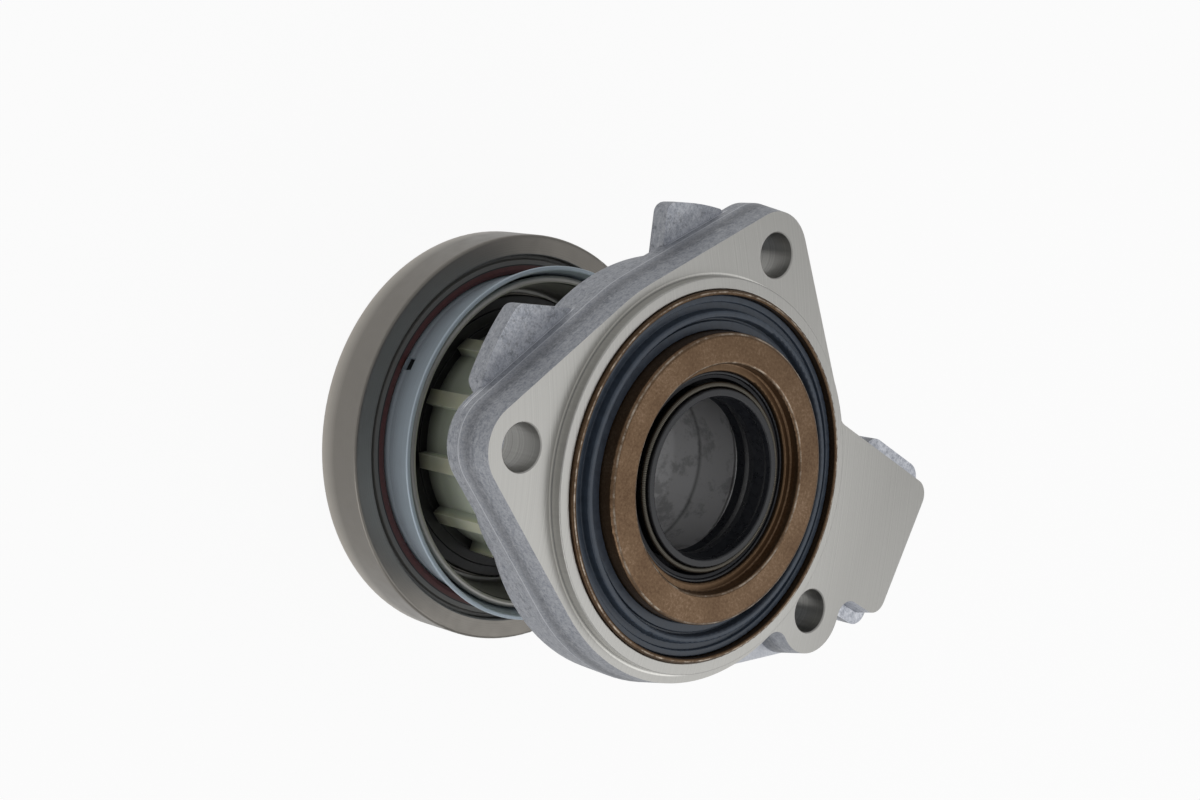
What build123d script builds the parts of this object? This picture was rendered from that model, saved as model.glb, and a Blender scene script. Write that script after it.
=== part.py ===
from build123d import *
import math
import os

# Concentric slave cylinder, in millimetres. +Z points to the gearbox, z = 0 is the machined face,
# +X runs along the port block. Everything is drawn with the piston out on its stop.

# Flange and its machined face
FACE_LAND = 1.6
BODY_DEPTH = 12.4
BOSS_REACH = 4.2
BOSS_R = 6.8
BOSS_DEPTH = 8.0
LEFT_BOSS_ANGLE = 197.5
TOP_BOSS_ANGLE = 95.3
LOW_BOSS_ANGLE = -14.3
CAST_SWELL = 1.0
PARTING_DEPTH = 5.4
REAR_DRAFT = 2.0

# Screw holes; two are drilled a little off the middle of their bosses
BOLT_HOLE_R = 3.5
BOLT_CHAMFER = 0.2
LEFT_BOLT_SHIFT = 0.7
LOW_BOLT_SHIFT = -0.3

# Locating spigot and the fit of the guide sleeve's rim in it
SPIGOT_WALL = 1.86
SPIGOT_H = 1.8
RIM_FIT = 0.04

# Port block
BLOCK_LENGTH = 19.5
BLOCK_LOW_Y = -3.6
BLOCK_HIGH_Y = 20.4
BLOCK_CORNER_R = 2.8
LEDGE_STEP = 4.0
LEDGE_TOP_DEPTH = 3.0
LEDGE_DEPTH = 15.0
LEDGE_OVERHANG = 2.7
PORT_PITCH = 13.2
PORT_DEPTH_Z = 9.0
PORT_HOLE_R = 4.5
PORT_LENGTH = 11.0
PORT_BOSS_R = 5.2
CHANNEL_R = 1.6

# Cast lugs behind the flange; the left one spreads out towards its root
LUG_REACH = 9.0
LUG_ROOT = 4.0
LUG_FRONT_DEPTH = 7.4
LUG_THICK = 3.5
LUG_TIP_WIDTH = 12.6
LEFT_LUG_ANGLE = 177.5
LEFT_LUG_ROOT_WIDTH = 25.0
TOP_LUG_ANGLE = 113.0
TOP_LUG_ROOT_WIDTH = 13.0

# Cylinder hub
TUBE_BORE_R = 13.4
SHEET = 1.2
CHAMBER_WIDTH = 5.8
HUB_WALL = 3.8
WEB_DEPTH = 7.0
RUN_GAP = 0.06

# Guide sleeve: rim, gasket channel, raised bead and seal pocket
RIM_TOP = 2.4
RIM_WIDTH = 0.8
CHANNEL_WIDTH = 5.4
CHANNEL_FLOOR = 0.2
BEAD_TOP = 4.15
BEAD_WIDTH = 4.8
SHOULDER_WIDTH = 1.3
SHOULDER_TOP = 2.1
POCKET_WIDTH = 2.8
POCKET_FLOOR = -5.4
SLEEVE_END = -53.5

# Seals on the gearbox side
GASKET_TOP = 1.35
GASKET_RIB_STEP = 2.55
GASKET_RIB_W = 1.3
GASKET_RIB_TOP = 2.3
SEAL_BACK = -4.5
SEAL_FRONT = 1.5
SEAL_HEAD_TOP = 2.6
SEAL_HEAD_STEP = 2.2
LIP_STEP = 1.4
LIP_LAND = 1.0
LIP_DEPTH = 0.6
GARTER_R = 0.55
O_RING_WIDTH = 2.0
O_RING_SQUEEZED = 1.66

# Piston group
SPRING_WIRE_R = 0.7
SPRING_TURNS = 2.4
SPRING_LENGTH = 12.1
SEAT_T = 0.8
CUP_H = 3.6
PISTON_LENGTH = 28.2
PISTON_COLLAR_LENGTH = 20.2
RIB_COUNT = 12
RIB_PHASE = 5.0
RIB_WIDTH = 2.5
RIB_DEPTH = 1.6
RIB_LENGTH = 12.0
NECK_STEP = 0.5
HUB_OVERLAP = 2.7
HOOK_DEPTH = 0.8
STOP_T = 1.0
STOP_GROOVE = 0.5
STOP_REACH = 1.6
STOP_GAP = 5.0

# Bearing
BALL_R = 2.78
BALL_COUNT = 20
RACE_GAP = 0.03
SHOULDER = 1.6
OUTER_WALL = 3.5
FLOAT_RADIUS = 0.8
STEP_GAP = 0.1
CARRIER_WIDTH = 5.53
CARRIER_T = 1.8
WASHER_T = 0.8
FLANGE_T = 1.8
FLANGE_DROP = 1.0
DISC_SPRING_H = 0.8
RETAINER_T = 1.4
RETAINER_WIDTH = 3.0
DISC_SLOTS = 12
CONTACT_INSET = 3.8
CONTACT_DROP = 3.7
CONTACT_FLAT = 1.4
COLLAR_T = 0.8
COLLAR_FLARE_H = 7.3
COLLAR_SLOPE = 0.297
RING_FLARE_H = 6.0
RING_FLARE = 0.23
RING_WALL = 1.3
NOTCH_COUNT = 3
NOTCH_PHASE = 178.5
NOTCH_WIDTH = 2.2
NOTCH_HEIGHT = 2.6
RING_LOW_WALL = 2.8
SEAL_T = 1.3
CAGE_RISE = 1.8

# Radii, from the tube outwards
tube_r = TUBE_BORE_R + SHEET
pocket_r = TUBE_BORE_R + POCKET_WIDTH
pocket_outer_r = pocket_r + SHEET
web_bore_r = pocket_outer_r + RIM_FIT
o_ring_groove_r = web_bore_r + O_RING_SQUEEZED
bead_inner_r = pocket_r + SHOULDER_WIDTH
bead_outer_r = bead_inner_r + BEAD_WIDTH
channel_outer_r = bead_outer_r + CHANNEL_WIDTH
gasket_rib_r = bead_outer_r + GASKET_RIB_STEP
rim_r = channel_outer_r + RIM_WIDTH
recess_r = rim_r + RIM_FIT
spigot_r = recess_r + SPIGOT_WALL
body_r = spigot_r + FACE_LAND
lip_r = TUBE_BORE_R - LIP_STEP
seal_head_r = lip_r + SEAL_HEAD_STEP
cylinder_r = tube_r + CHAMBER_WIDTH
hub_r = cylinder_r + HUB_WALL

# Places on the flange and the port block
boss_circle_r = body_r + BOSS_REACH
bolt_radii = (boss_circle_r + LEFT_BOLT_SHIFT, boss_circle_r, boss_circle_r + LOW_BOLT_SHIFT)
bolt_places = tuple(zip(bolt_radii, (LEFT_BOSS_ANGLE, TOP_BOSS_ANGLE, LOW_BOSS_ANGLE)))
lug_outer_r = body_r + LUG_REACH
lug_inner_r = body_r - LUG_ROOT
block_end_x = body_r + BLOCK_LENGTH
ledge_start_x = body_r + LEDGE_STEP
port_floor_x = block_end_x - PORT_LENGTH
port_mid_y = (BLOCK_LOW_Y + BLOCK_HIGH_Y) / 2
port_ys = (port_mid_y - PORT_PITCH / 2, port_mid_y + PORT_PITCH / 2)
recess_floor = CHANNEL_FLOOR - SHEET - 0.02
o_ring_z = (recess_floor - WEB_DEPTH) / 2

# Piston group, from the spring down
seat_top = -WEB_DEPTH - SPRING_LENGTH
cup_top = seat_top - SEAT_T - RIM_FIT
piston_top = cup_top - CUP_H - RIM_FIT
piston_end = piston_top - PISTON_LENGTH
collar_end = piston_top - PISTON_COLLAR_LENGTH
hub_end = piston_top - HUB_OVERLAP
piston_r = cylinder_r - RUN_GAP
piston_bore_r = tube_r + RUN_GAP
neck_r = piston_r - RIB_DEPTH - NECK_STEP
stop_top = piston_end - RIM_FIT

# Bearing radii, from the piston's neck outwards
float_room = FLOAT_RADIUS * math.sqrt(2) + 0.15
flange_bore_r = neck_r + float_room
carrier_r = neck_r + CARRIER_WIDTH
ring_bore_r = carrier_r + float_room
seat_r = ring_bore_r + RING_WALL
land_in = seat_r + COLLAR_T + 0.05
pitch_r = land_in + SHOULDER
land_out = pitch_r + SHOULDER
bearing_outer_r = land_out + OUTER_WALL
contact_r = pitch_r - CONTACT_INSET

# Bearing heights, from the carrier down
carrier_top = collar_end - RIM_FIT
washer_top = carrier_top - CARRIER_T - STEP_GAP
flange_top = washer_top - WASHER_T - STEP_GAP
flange_low = flange_top - FLANGE_T
disc_top = flange_low - RUN_GAP
retainer_top = disc_top - DISC_SPRING_H - RUN_GAP
ball_z = flange_low + FLANGE_DROP
race_r = BALL_R + RACE_GAP
land_rise = math.sqrt(race_r**2 - SHOULDER**2)
ring_low = ball_z - BALL_R + 0.2
collar_low = ball_z + land_rise + 0.7
flare_start = collar_low + 1.9
ring_top = flare_start + RING_FLARE_H
collar_top = flare_start + COLLAR_FLARE_H
bearing_face = ball_z + 4.9
bearing_low = ball_z - 4.0
seal_low = ball_z + BALL_R + 0.2
flange_inner = ball_z - BALL_R - 1.1
contact_z = flange_inner - CONTACT_DROP

os.makedirs("parts", exist_ok=True)


def polar(radius, angle):
    """The point at a radius and an angle in degrees."""
    return (radius * math.cos(math.radians(angle)), radius * math.sin(math.radians(angle)))


def save(piece, name):
    """Give a finished piece its name and write its STEP file."""
    piece.label = name
    export_step(piece, f"parts/{name}.step")


def draw_tangent_boss(angle, grow):
    """Boss circle with two straight flanks that run tangent into the round body."""
    round_r = body_r + grow
    boss_r = BOSS_R + grow
    spread = math.degrees(math.acos((round_r - boss_r) / boss_circle_r))
    centre_x, centre_y = polar(boss_circle_r, angle)
    corners = []
    for side in (-spread, spread):
        on_boss = polar(boss_r, angle + side)
        corners.append(polar(round_r, angle + side))
        corners.append((centre_x + on_boss[0], centre_y + on_boss[1]))
    with Locations((centre_x, centre_y)):
        Circle(boss_r)
    Polygon(corners[0], corners[1], corners[3], corners[2], align=None)


def turn(outline, mode=Mode.ADD):
    """Turn a closed outline of (radius, z, corner rounding) points about the Z axis."""
    with BuildSketch(Plane.XZ) as profile:
        with BuildLine():
            Polyline(*[(radius, z) for radius, z, rounding in outline], close=True)
        make_face()
        for radius, z, rounding in outline:
            if rounding > 0:
                fillet(profile.vertices().sort_by_distance((radius, z, 0))[0], rounding)
    revolve(profile.sketch, axis=Axis.Z, mode=mode)


def turn_round(radius, z, section_r, mode=Mode.ADD):
    """A ring of round section."""
    with BuildSketch(Plane.XZ) as profile:
        with Locations((radius, z)):
            Circle(section_r)
    revolve(profile.sketch, axis=Axis.Z, mode=mode)


def ring(inner_r, outer_r, low_z, high_z, rounding, mode=Mode.ADD):
    """A plain ring with four equally rounded corners."""
    outline = [(inner_r, low_z), (outer_r, low_z), (outer_r, high_z), (inner_r, high_z)]
    turn([(radius, z, rounding) for radius, z in outline], mode)


def channel(y, start_x, end_x, radius, mode):
    """A round bar or hole along X at the height of the ports."""
    with BuildSketch(Plane.YZ.offset(start_x)) as section:
        with Locations((y, -PORT_DEPTH_Z)):
            Circle(radius)
    extrude(section.sketch, amount=end_x - start_x, mode=mode)


def build_lug(root_width):
    """A cast lug along +X, with a round end and flanks that spread towards its root."""
    with BuildPart() as lug:
        with BuildSketch(Plane.XY.offset(-LUG_FRONT_DEPTH)):
            tip = (lug_outer_r, LUG_TIP_WIDTH / 2)
            root = (lug_inner_r, root_width / 2)
            Polygon(root, tip, (tip[0], -tip[1]), (root[0], -root[1]), align=None)
            Circle(lug_outer_r, mode=Mode.INTERSECT)
        extrude(amount=-LUG_THICK)
        fillet(lug.edges().filter_by(Axis.Z).sort_by(Axis.X)[-2:], 1.8)
        fillet(lug.faces().sort_by(Axis.X)[-1].edges().group_by(Axis.Z)[0], 1.0)
    return lug.part


def draw_face_outline(outline, grow):
    """The front outline, grown all round; the corners between body, block and low boss stay hollow."""
    round_r = body_r + grow
    boss_r = BOSS_R + grow
    low_y = BLOCK_LOW_Y - grow
    high_y = BLOCK_HIGH_Y + grow
    Circle(round_r)
    draw_tangent_boss(LEFT_BOSS_ANGLE, grow)
    draw_tangent_boss(TOP_BOSS_ANGLE, grow)
    boss_x, boss_y = polar(boss_circle_r, LOW_BOSS_ANGLE)
    with Locations((boss_x, boss_y)):
        Circle(boss_r)
    with Locations(((body_r / 2 + block_end_x + grow) / 2, port_mid_y)):
        Rectangle(block_end_x + grow - body_r / 2, high_y - low_y)
    fillet(outline.vertices().group_by(Axis.X)[-1], BLOCK_CORNER_R + grow)
    block_root = (math.sqrt(round_r**2 - high_y**2), high_y)
    boss_root = (boss_x + math.sqrt(boss_r**2 - (low_y - boss_y) ** 2), low_y)
    root_share = (round_r**2 + boss_circle_r**2 - boss_r**2) / (2 * round_r * boss_circle_r)
    low_root = polar(round_r, LOW_BOSS_ANGLE - math.degrees(math.acos(root_share)))
    for root in (block_root, boss_root, low_root):
        fillet(outline.vertices().sort_by_distance((*root, 0))[0], BLOCK_CORNER_R - grow)


# Housing: front half, swelling from the machined face to the parting line
with BuildPart() as housing:
    for depth, grow in ((0, 0), (PARTING_DEPTH, CAST_SWELL)):
        with BuildSketch(Plane.XY.offset(-depth)) as outline:
            draw_face_outline(outline, grow)
    loft(ruled=True)

    # Rear half behind the parting line, where the low boss is filled out too
    with BuildSketch(Plane.XY.offset(-PARTING_DEPTH)):
        Circle(body_r + CAST_SWELL)
        for boss_angle in (LEFT_BOSS_ANGLE, TOP_BOSS_ANGLE, LOW_BOSS_ANGLE):
            draw_tangent_boss(boss_angle, CAST_SWELL)
    extrude(amount=PARTING_DEPTH - BOSS_DEPTH, taper=REAR_DRAFT)
    with BuildSketch(Plane.XY.offset(-PARTING_DEPTH)):
        Circle(body_r + CAST_SWELL)
    extrude(amount=PARTING_DEPTH - BODY_DEPTH, taper=REAR_DRAFT)
    fillet(housing.edges().group_by(Axis.Z)[0], 1.0)

    # Wide rear of the port block and the two round bars that carry the fluid channels
    with BuildSketch(Plane.XY.offset(-LEDGE_TOP_DEPTH)):
        with Locations(((ledge_start_x + block_end_x) / 2, port_mid_y)):
            ledge_width = BLOCK_HIGH_Y - BLOCK_LOW_Y + 2 * LEDGE_OVERHANG
            RectangleRounded(block_end_x - ledge_start_x, ledge_width, BLOCK_CORNER_R)
    extrude(amount=LEDGE_TOP_DEPTH - LEDGE_DEPTH)
    for port_y in port_ys:
        channel(port_y, 0, ledge_start_x + 1, PORT_BOSS_R, Mode.ADD)
    rear_of_block = housing.faces().filter_by(Axis.Z).sort_by(Axis.Z)[0]
    fillet(rear_of_block.edges(), 1.2)

    # Cast lugs, hub, spigot and the bores through them
    add(build_lug(LEFT_LUG_ROOT_WIDTH), rotation=(0, 0, LEFT_LUG_ANGLE))
    add(build_lug(TOP_LUG_ROOT_WIDTH), rotation=(0, 0, TOP_LUG_ANGLE))
    ring(cylinder_r, hub_r, hub_end, -BOSS_DEPTH, 0.5)
    ring(recess_r, spigot_r, -0.5, SPIGOT_H, 0.2)
    ring(0, recess_r, recess_floor, SPIGOT_H + 1, 0, Mode.SUBTRACT)
    ring(0, web_bore_r, -WEB_DEPTH - 1, 0, 0, Mode.SUBTRACT)
    ring(0, cylinder_r, hub_end - 1, -WEB_DEPTH, 0, Mode.SUBTRACT)
    groove_half = O_RING_WIDTH / 2 + 0.1
    ring(web_bore_r - 1, o_ring_groove_r, o_ring_z - groove_half, o_ring_z + groove_half, 0, Mode.SUBTRACT)

    # Bolt holes with their chamfers and rear spot faces
    for bolt_r, boss_angle in bolt_places:
        centre = polar(bolt_r, boss_angle)
        with Locations((*centre, 0)):
            Hole(BOLT_HOLE_R)
        with Locations((*centre, -BOLT_CHAMFER / 2)):
            Cone(BOLT_HOLE_R, BOLT_HOLE_R + BOLT_CHAMFER, BOLT_CHAMFER, mode=Mode.SUBTRACT)
        with BuildSketch(Plane.XY.offset(-BOSS_DEPTH)):
            with Locations(centre):
                Circle(BOSS_R - 1)
        extrude(amount=BOSS_DEPTH - BODY_DEPTH - 1, mode=Mode.SUBTRACT)

    # Port holes, their cone seats and the channels into the cylinder
    end_trim = Plane.YZ.offset(block_end_x)
    with BuildSketch(end_trim):
        with Locations((port_mid_y, -LEDGE_DEPTH / 2)):
            Rectangle(4 * LEDGE_DEPTH, 2 * LEDGE_DEPTH)
    extrude(amount=5, mode=Mode.SUBTRACT)
    for port_y in port_ys:
        channel(port_y, port_floor_x, block_end_x + 1, PORT_HOLE_R, Mode.SUBTRACT)
        channel(port_y, cylinder_r / 2, block_end_x, CHANNEL_R, Mode.SUBTRACT)
save(housing.part, "housing")


# Guide sleeve: one drawn sheet piece, from the rim over the bead and the pocket to the long tube
with BuildPart() as guide_sleeve:
    floor_low = CHANNEL_FLOOR - SHEET
    pocket_low = POCKET_FLOOR - SHEET
    bead_low = BEAD_TOP - SHEET
    shoulder_low = SHOULDER_TOP - SHEET
    groove_r = tube_r - STOP_GROOVE
    turn(
        [
            (rim_r, RIM_TOP, 0.3),
            (channel_outer_r, RIM_TOP, 0.25),
            (channel_outer_r, CHANNEL_FLOOR, 0.3),
            (bead_outer_r, CHANNEL_FLOOR, 0.3),
            (bead_outer_r, BEAD_TOP, 0.7),
            (bead_inner_r, BEAD_TOP, 0.5),
            (bead_inner_r, SHOULDER_TOP, 0.25),
            (pocket_r, SHOULDER_TOP, 0.3),
            (pocket_r, POCKET_FLOOR, 0.4),
            (TUBE_BORE_R, POCKET_FLOOR, 0.8),
            (TUBE_BORE_R, SLEEVE_END, 0),
            (tube_r, SLEEVE_END, 0.3),
            (tube_r, stop_top - STOP_T - RIM_FIT, 0),
            (groove_r, stop_top - STOP_T - RIM_FIT, 0),
            (groove_r, stop_top + RIM_FIT, 0),
            (tube_r, stop_top + RIM_FIT, 0),
            (tube_r, pocket_low, 0.5),
            (pocket_outer_r, pocket_low, 1.0),
            (pocket_outer_r, shoulder_low, 0.5),
            (bead_inner_r + SHEET, shoulder_low, 0.5),
            (bead_inner_r + SHEET, bead_low, 0.3),
            (bead_outer_r - SHEET, bead_low, 0.3),
            (bead_outer_r - SHEET, floor_low, 0.7),
            (rim_r, floor_low, 0.7),
        ]
    )
save(guide_sleeve.part, "guide_sleeve")


# Mounting gasket: flat ring with one raised sealing rib between two grooves
with BuildPart() as mounting_gasket:
    gasket_low = CHANNEL_FLOOR + 0.02
    gasket_out = channel_outer_r - 0.06
    gasket_in = bead_outer_r + 0.06
    rib_half = GASKET_RIB_W / 2
    turn(
        [
            (gasket_in, gasket_low, 0.45),
            (gasket_out, gasket_low, 0.45),
            (gasket_out, GASKET_TOP, 0.2),
            (gasket_rib_r + rib_half + 1.15, GASKET_TOP, 0.15),
            (gasket_rib_r + rib_half + 1.05, GASKET_TOP - 0.5, 0.1),
            (gasket_rib_r + rib_half, GASKET_TOP - 0.5, 0.2),
            (gasket_rib_r + rib_half - 0.15, GASKET_RIB_TOP, 0.35),
            (gasket_rib_r - rib_half + 0.15, GASKET_RIB_TOP, 0.35),
            (gasket_rib_r - rib_half, GASKET_TOP - 0.45, 0.1),
            (gasket_rib_r - rib_half - 0.35, GASKET_TOP - 0.45, 0.1),
            (gasket_rib_r - rib_half - 0.4, GASKET_TOP, 0.12),
            (gasket_in, GASKET_TOP, 0.2),
        ]
    )
save(mounting_gasket.part, "mounting_gasket")


# Shaft seal: outer wall and floor, arm and head with the lip and the garter groove
with BuildPart() as shaft_seal:
    wall_r = pocket_r - 0.5
    garter_z = SEAL_HEAD_TOP - 0.85
    lip_low = -LIP_DEPTH - LIP_LAND
    turn(
        [
            (pocket_r - 0.02, SEAL_FRONT, 0.2),
            (wall_r, SEAL_FRONT, 0.15),
            (wall_r, SEAL_BACK + 0.5, 0),
            (lip_r + 1.2, SEAL_BACK + 0.5, 0),
            (lip_r + 1.15, SEAL_BACK + 1.3, 0),
            (lip_r + 1.0, -LIP_DEPTH - 0.2, 0),
            (lip_r + 1.2, garter_z - 1.1, 0.4),
            (seal_head_r + 0.1, garter_z - 0.9, 0.15),
            (seal_head_r + 0.1, garter_z, 0),
            (seal_head_r - 0.55, garter_z, 0),
            (seal_head_r - 0.55, SEAL_HEAD_TOP, 0.25),
            (lip_r + 0.5, SEAL_HEAD_TOP, 0.25),
            (lip_r + 0.3, SEAL_HEAD_TOP - 0.9, 0.2),
            (lip_r + 0.55, SEAL_HEAD_TOP - 1.5, 0.2),
            (lip_r, -LIP_DEPTH, 0.1),
            (lip_r, lip_low, 0.1),
            (lip_r + 0.55, lip_low - 1.4, 0.3),
            (lip_r + 0.2, SEAL_BACK, 0.1),
            (pocket_r - 0.02, SEAL_BACK, 0.6),
        ]
    )
    turn_round(seal_head_r - 0.05, garter_z, GARTER_R + RIM_FIT, Mode.SUBTRACT)
save(shaft_seal.part, "shaft_seal")


# Steel case inside the shaft seal
with BuildPart() as seal_case:
    case_out = wall_r - 0.03
    case_low = SEAL_BACK + 0.53
    turn(
        [
            (case_out, SEAL_FRONT - 0.3, 0.1),
            (case_out - 0.6, SEAL_FRONT - 0.3, 0.1),
            (case_out - 0.6, case_low + 0.6, 0.3),
            (lip_r + 1.25, case_low + 0.6, 0.1),
            (lip_r + 1.25, case_low, 0.1),
            (case_out, case_low, 0.5),
        ]
    )
save(seal_case.part, "seal_case")


# Garter spring round the seal's head
with BuildPart() as garter_spring:
    turn_round(seal_head_r - 0.05, garter_z, GARTER_R)
save(garter_spring.part, "garter_spring")


# Ring seal between the guide sleeve and the housing web
with BuildPart() as sleeve_o_ring:
    o_ring_low = o_ring_z - O_RING_WIDTH / 2
    ring(pocket_outer_r + 0.01, o_ring_groove_r - 0.02, o_ring_low, o_ring_low + O_RING_WIDTH, 0.75)
save(sleeve_o_ring.part, "sleeve_o_ring")


# Stop ring in the groove near the end of the tube, open over a short gap
with BuildPart() as stop_ring:
    ring(groove_r + RIM_FIT, tube_r + STOP_REACH, stop_top - STOP_T, stop_top, 0.15)
    with BuildSketch(Plane.XY.offset(stop_top + 1)):
        with Locations((0, -tube_r)):
            Rectangle(STOP_GAP, 4 * STOP_REACH)
    extrude(amount=-STOP_T - 2, mode=Mode.SUBTRACT)
save(stop_ring.part, "stop_ring")


# Preload spring: a cone of wire whose turns nest when it is pressed flat, with level end turns
with BuildPart() as preload_spring:
    small_r = tube_r + SPRING_WIRE_R + 0.6
    large_r = cylinder_r - SPRING_WIRE_R - 0.35
    low_z = seat_top + SPRING_WIRE_R
    high_z = -WEB_DEPTH - SPRING_WIRE_R - RIM_FIT
    step_count = round(SPRING_TURNS * 12)
    wire_points = []
    for step in range(step_count + 1):
        part_way = step / step_count
        rise = part_way - math.sin(2 * math.pi * part_way) / (2 * math.pi)
        across = polar(small_r + (large_r - small_r) * part_way, 30 * step)
        wire_points.append((*across, low_z + (high_z - low_z) * rise))
    with BuildLine() as wire:
        Spline(*wire_points)
    with BuildSketch(Plane(wire.line @ 0, z_dir=wire.line % 0)):
        Circle(SPRING_WIRE_R)
    sweep(path=wire.line)
save(preload_spring.part, "preload_spring")


# Seat between the spring and the piston seal
with BuildPart() as spring_seat:
    ring(tube_r + 0.4, cylinder_r - 0.3, seat_top - SEAT_T, seat_top, 0.2)
save(spring_seat.part, "spring_seat")


# Piston seal: cup with its mouth to the pressure side
with BuildPart() as piston_seal:
    cup_low = cup_top - CUP_H
    cup_mid_r = (tube_r + cylinder_r) / 2
    turn(
        [
            (tube_r + 0.02, cup_top - 0.02, 0.1),
            (tube_r + 1.2, cup_top - 0.02, 0.2),
            (cup_mid_r - 0.6, cup_top - 1.9, 0.3),
            (cup_mid_r + 0.6, cup_top - 1.9, 0.3),
            (cylinder_r - 1.2, cup_top - 0.02, 0.2),
            (cylinder_r - 0.02, cup_top - 0.02, 0.1),
            (cylinder_r - 0.35, cup_top - 1.9, 0.5),
            (cylinder_r - 0.35, cup_low, 0.3),
            (tube_r + 0.35, cup_low, 0.3),
            (tube_r + 0.35, cup_top - 1.9, 0.5),
        ]
    )
save(piston_seal.part, "piston_seal")


# Piston: smooth head, a zone of lengthwise ribs, and the neck that carries the bearing
with BuildPart() as piston:
    hook_top = retainer_top + RIM_FIT
    hook_low = retainer_top - RETAINER_T - RIM_FIT
    turn(
        [
            (piston_bore_r, piston_top, 0.3),
            (piston_r, piston_top, 0.5),
            (piston_r, collar_end, 0),
            (neck_r, collar_end, 0),
            (neck_r, hook_top, 0),
            (neck_r - HOOK_DEPTH, hook_top, 0),
            (neck_r - HOOK_DEPTH, hook_low, 0),
            (neck_r, hook_low, 0),
            (neck_r, piston_end, 0.4),
            (piston_bore_r, piston_end, 0.3),
        ]
    )
    with BuildSketch(Plane.XY.offset(collar_end)):
        Circle(cylinder_r + 1)
        Circle(piston_r - RIB_DEPTH, mode=Mode.SUBTRACT)
        with PolarLocations(piston_r, RIB_COUNT, start_angle=RIB_PHASE):
            Rectangle(4 * RIB_DEPTH, RIB_WIDTH, mode=Mode.SUBTRACT)
    extrude(amount=RIB_LENGTH, mode=Mode.SUBTRACT)
save(piston.part, "piston")


# Black carrier ring on the piston, stepped down towards its rim
with BuildPart() as bearing_carrier:
    step_r = (carrier_r - neck_r) / 3
    turn(
        [
            (neck_r + RIM_FIT, carrier_top, 0),
            (neck_r + step_r, carrier_top, 0.15),
            (neck_r + step_r, carrier_top - 0.35, 0.1),
            (neck_r + 2 * step_r, carrier_top - 0.35, 0.15),
            (neck_r + 2 * step_r, carrier_top - 0.7, 0.1),
            (carrier_r, carrier_top - 0.7, 0.3),
            (carrier_r, carrier_top - CARRIER_T, 0.2),
            (neck_r + RIM_FIT, carrier_top - CARRIER_T, 0),
        ]
    )
save(bearing_carrier.part, "bearing_carrier")


# Thrust washer that lets the bearing slide sideways on the carrier
with BuildPart() as thrust_washer:
    washer_low = washer_top - WASHER_T
    ring(neck_r + FLOAT_RADIUS + 0.2, ring_bore_r - FLOAT_RADIUS - 0.2, washer_low, washer_top, 0.2)
save(thrust_washer.part, "thrust_washer")


# Slotted disc spring that holds the bearing on its washer
with BuildPart() as centring_spring:
    disc_t = 0.35
    disc_low = retainer_top + 0.03
    turn(
        [
            (neck_r + 0.2, disc_low, 0),
            (neck_r + 0.2, disc_low + disc_t, 0),
            (neck_r + 4.6, disc_top, 0),
            (neck_r + 4.6, disc_top - disc_t, 0),
        ]
    )
    with BuildSketch(Plane.XY.offset(disc_top + 1)):
        with PolarLocations(neck_r + 1.2, DISC_SLOTS):
            SlotOverall(3.2, 1.0)
    extrude(amount=-DISC_SPRING_H - 3, mode=Mode.SUBTRACT)
save(centring_spring.part, "centring_spring")


# Spring retainer snapped into the piston's groove
with BuildPart() as spring_retainer:
    hook_r = neck_r - HOOK_DEPTH + RIM_FIT
    ring(hook_r, neck_r + RETAINER_WIDTH, retainer_top - RETAINER_T, retainer_top, 0.2)
    with BuildSketch(Plane.XY.offset(retainer_top + 1)):
        with Locations((0, -neck_r)):
            Rectangle(STOP_GAP, 4 * RETAINER_WIDTH)
    extrude(amount=-RETAINER_T - 2, mode=Mode.SUBTRACT)
save(spring_retainer.part, "spring_retainer")


# Bearing inner ring: inward flange, ball track and the flared mouth inside the collar
with BuildPart() as bearing_inner_ring:
    flare = RING_FLARE * RING_FLARE_H
    open_land = pitch_r - race_r * math.cos(math.radians(25))
    turn(
        [
            (flange_bore_r, flange_top, 0.3),
            (ring_bore_r, flange_top, 0.7),
            (ring_bore_r, flare_start, 1.0),
            (ring_bore_r + flare, ring_top, 0.5),
            (ring_bore_r + flare + RING_WALL, ring_top, 0.7),
            (seat_r, flare_start, 0.6),
            (seat_r, collar_low - 0.04, 0),
            (land_in, collar_low - 0.04, 0.1),
            (land_in, ball_z, 0),
            (open_land, ball_z, 0),
            (open_land, ring_low, 0.3),
            (land_in - RING_LOW_WALL, ring_low, 0.3),
            (land_in - RING_LOW_WALL, flange_low, 0.5),
            (flange_bore_r, flange_low, 0.3),
        ]
    )
    turn_round(pitch_r, ball_z, race_r, Mode.SUBTRACT)
save(bearing_inner_ring.part, "bearing_inner_ring")


# Flared retaining collar on the inner ring, with its windows
with BuildPart() as retaining_collar:
    collar_in = seat_r + 0.03
    collar_flare = COLLAR_SLOPE * COLLAR_FLARE_H
    turn(
        [
            (collar_in, collar_low, 0.1),
            (collar_in, flare_start, 1.0),
            (collar_in + collar_flare, collar_top, 0.25),
            (collar_in + collar_flare + COLLAR_T, collar_top, 0.25),
            (collar_in + COLLAR_T, flare_start, 1.0),
            (collar_in + COLLAR_T, collar_low, 0.2),
        ]
    )
    with BuildSketch(Plane.XY.offset(collar_low + 0.6)):
        with PolarLocations(collar_in, NOTCH_COUNT, start_angle=NOTCH_PHASE):
            Rectangle(6 * COLLAR_T, NOTCH_WIDTH)
    extrude(amount=NOTCH_HEIGHT, mode=Mode.SUBTRACT)
save(retaining_collar.part, "retaining_collar")


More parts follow.
